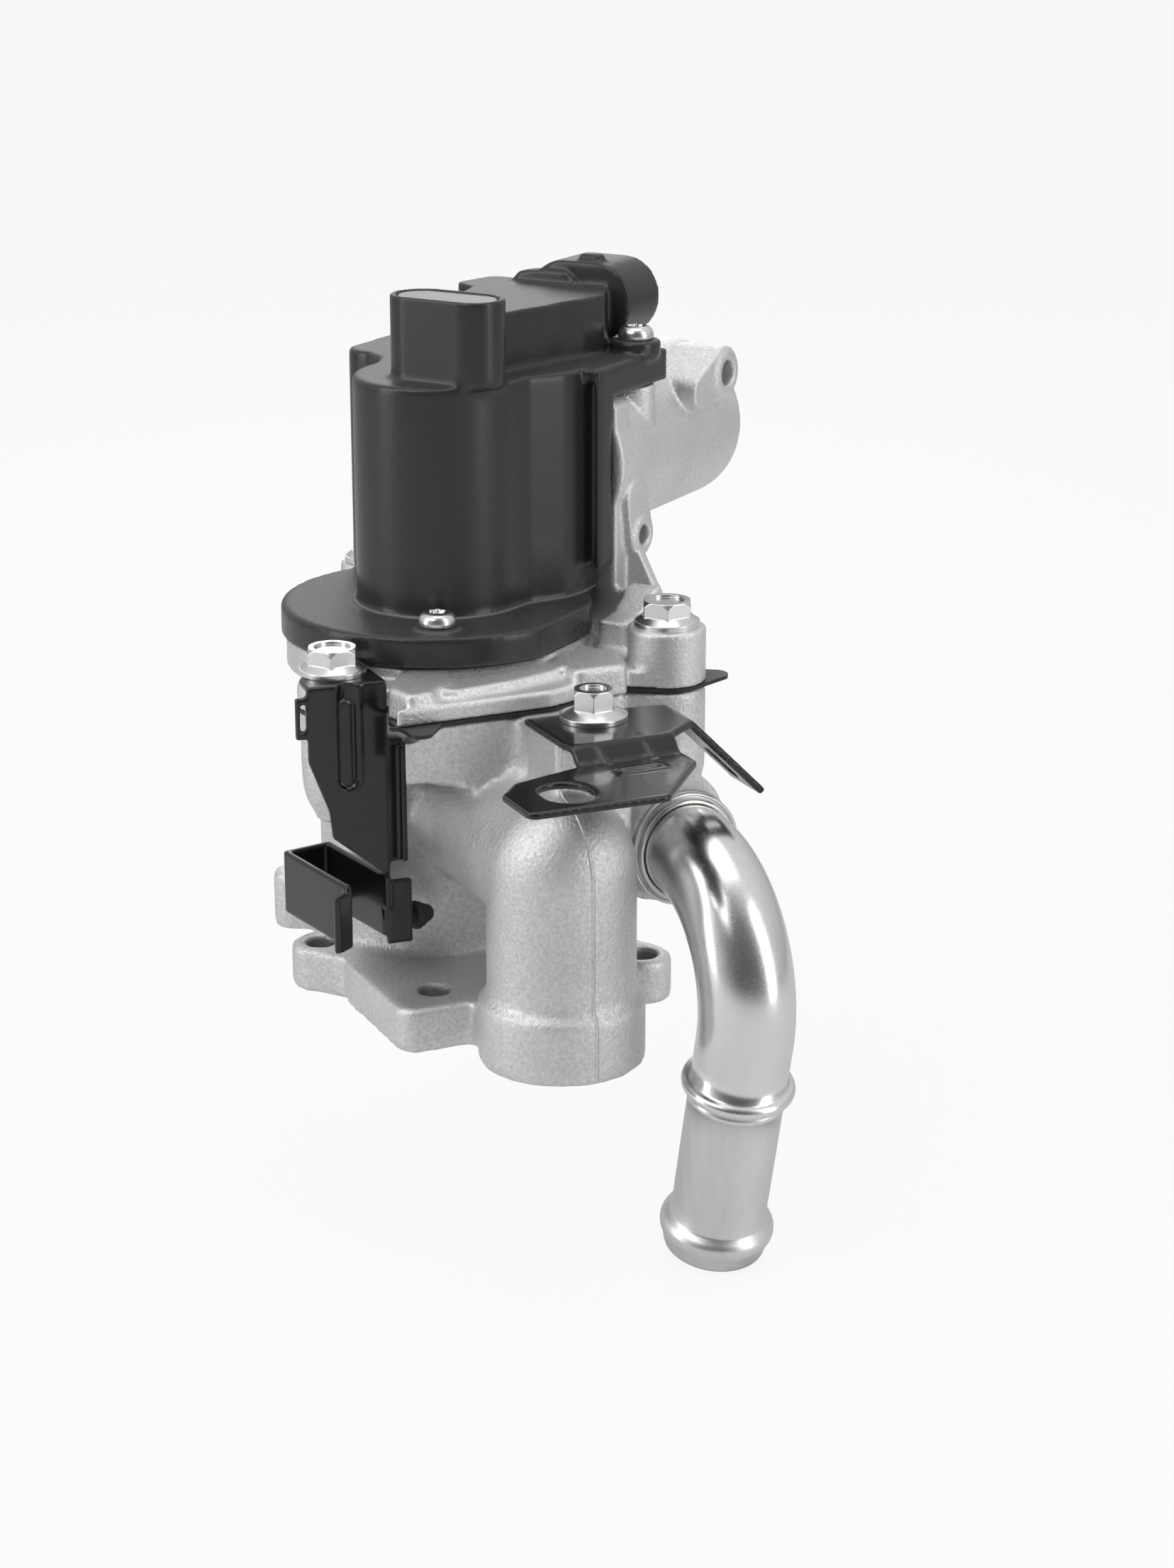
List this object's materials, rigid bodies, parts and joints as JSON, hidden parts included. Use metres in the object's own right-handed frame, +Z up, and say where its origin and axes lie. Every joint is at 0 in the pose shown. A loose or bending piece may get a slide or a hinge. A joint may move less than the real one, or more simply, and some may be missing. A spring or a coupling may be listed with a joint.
{
  "type": "egr valve",
  "caption": "Electric exhaust gas recirculation valve: cast body with gas elbow, motor actuator under a plastic cover, coolant pipe and sheet brackets.",
  "frame": {"origin": "centre of the gas inlet at the underside of the foot flange", "axes": "+Z up along the valve stem, +Y along the motor tube towards its closed end and the plug opening, +X towards the coolant pipe's side"},
  "size_m": [0.1465, 0.163, 0.2019],
  "materials": {
    "cast_aluminium": "sand cast, matt and finely grained",
    "cast_aluminium_upper": "die cast, satin",
    "hard_steel": "ground",
    "bronze": "sintered",
    "black_rubber": "matt",
    "bright_steel": "ground bright",
    "spring_steel": "drawn wire",
    "black_plastic_inner": "moulded",
    "magnet_grey": "sintered",
    "gear_plastic": "moulded, natural colour",
    "plated_steel": "bright zinc plated",
    "zinc_steel": "zinc plated, drawn",
    "brown_plastic": "moulded",
    "carbon": "pressed carbon",
    "core_steel": "stacked sheet",
    "copper": "enamelled wire and bars",
    "gasket_black": "coated sheet, satin",
    "black_plastic": "moulded, satin",
    "grey_plastic": "moulded, matt",
    "board_green": "lacquered",
    "pin_metal": "tinned",
    "gloss_black_steel": "gloss black coat",
    "bright_pipe": "bright plated, faint draw lines"
  },
  "bodies": {
    "base": {"lower_body": "cast_aluminium", "seat_ring": "hard_steel", "stem_bush": "bronze", "stem_seal": "black_rubber", "return_spring": "spring_steel", "output_bush_rear": "bronze", "output_bush_front": "bronze", "gear_plate": "bright_steel", "gear_plate_screws": "plated_steel", "idler_pin": "bright_steel", "motor_can": "zinc_steel", "motor_magnets": "magnet_grey", "motor_end_plate": "brown_plastic", "motor_brushes": "carbon", "motor_bearings": "bright_steel", "motor_washer": "spring_steel", "motor_screws": "plated_steel", "actuator_housing": "cast_aluminium_upper", "body_gasket": "gasket_black", "actuator_cover": "black_plastic", "cover_seal": "black_rubber", "tower_lid": "grey_plastic", "sensor_board": "board_green", "connector_pins": "pin_metal", "cover_screws": "plated_steel", "housing_bolts": "plated_steel", "bracket_bolt": "plated_steel", "clip_bracket": "gloss_black_steel", "hose_bracket": "gloss_black_steel", "coolant_pipe": "bright_pipe", "pipe_collar": "bright_pipe"},
    "stem": {"valve_stem": "bright_steel", "valve_disc": "hard_steel", "spring_retainer": "bright_steel", "stem_yoke": "hard_steel", "roller_pin": "bright_steel", "magnet_carrier": "black_plastic_inner", "sensor_magnet": "magnet_grey"},
    "roller": {"cam_roller": "bright_steel"},
    "output": {"cam_disc": "hard_steel", "output_gear": "gear_plastic"},
    "idler": {"idler_gear": "gear_plastic"},
    "rotor": {"motor_shaft": "bright_steel", "armature_core": "core_steel", "armature_windings": "copper", "commutator": "copper", "motor_pinion": "bronze"}
  },
  "joints": [
    {"name": "output_turn", "type": "hinge", "parent": "base", "child": "output", "pos_m": [0, 0, 0.094], "axis": [0, -1, 0], "range_deg": [-0.5, 110.5]},
    {"name": "stem_slide", "type": "slide", "parent": "base", "child": "stem", "axis": [0, 0, -1], "range_m": [0, 0.0055], "stiffness_N_per_m": 2500, "springref_m": -0.006, "deforming": ["return_spring"]},
    {"name": "roller_spin", "type": "hinge", "parent": "stem", "child": "roller", "pos_m": [0, 0.012, 0.0895], "axis": [0, -1, 0], "continuous": true},
    {"name": "idler_turn", "type": "hinge", "parent": "base", "child": "idler", "pos_m": [-0.00679, 0.02, 0.11239], "axis": [0, -1, 0], "range_deg": [-381.8, 1.8]},
    {"name": "rotor_turn", "type": "hinge", "parent": "base", "child": "rotor", "pos_m": [0.0124, 0.05, 0.1109], "axis": [0, -1, 0], "range_deg": [-7, 1527]}
  ],
  "couplings": [
    {"joint": "output_turn", "follows": "stem_slide", "rad_per_m": 349.07},
    {"joint": "idler_turn", "follows": "stem_slide", "rad_per_m": -1205.9},
    {"joint": "rotor_turn", "follows": "stem_slide", "rad_per_m": 4823.5}
  ]
}
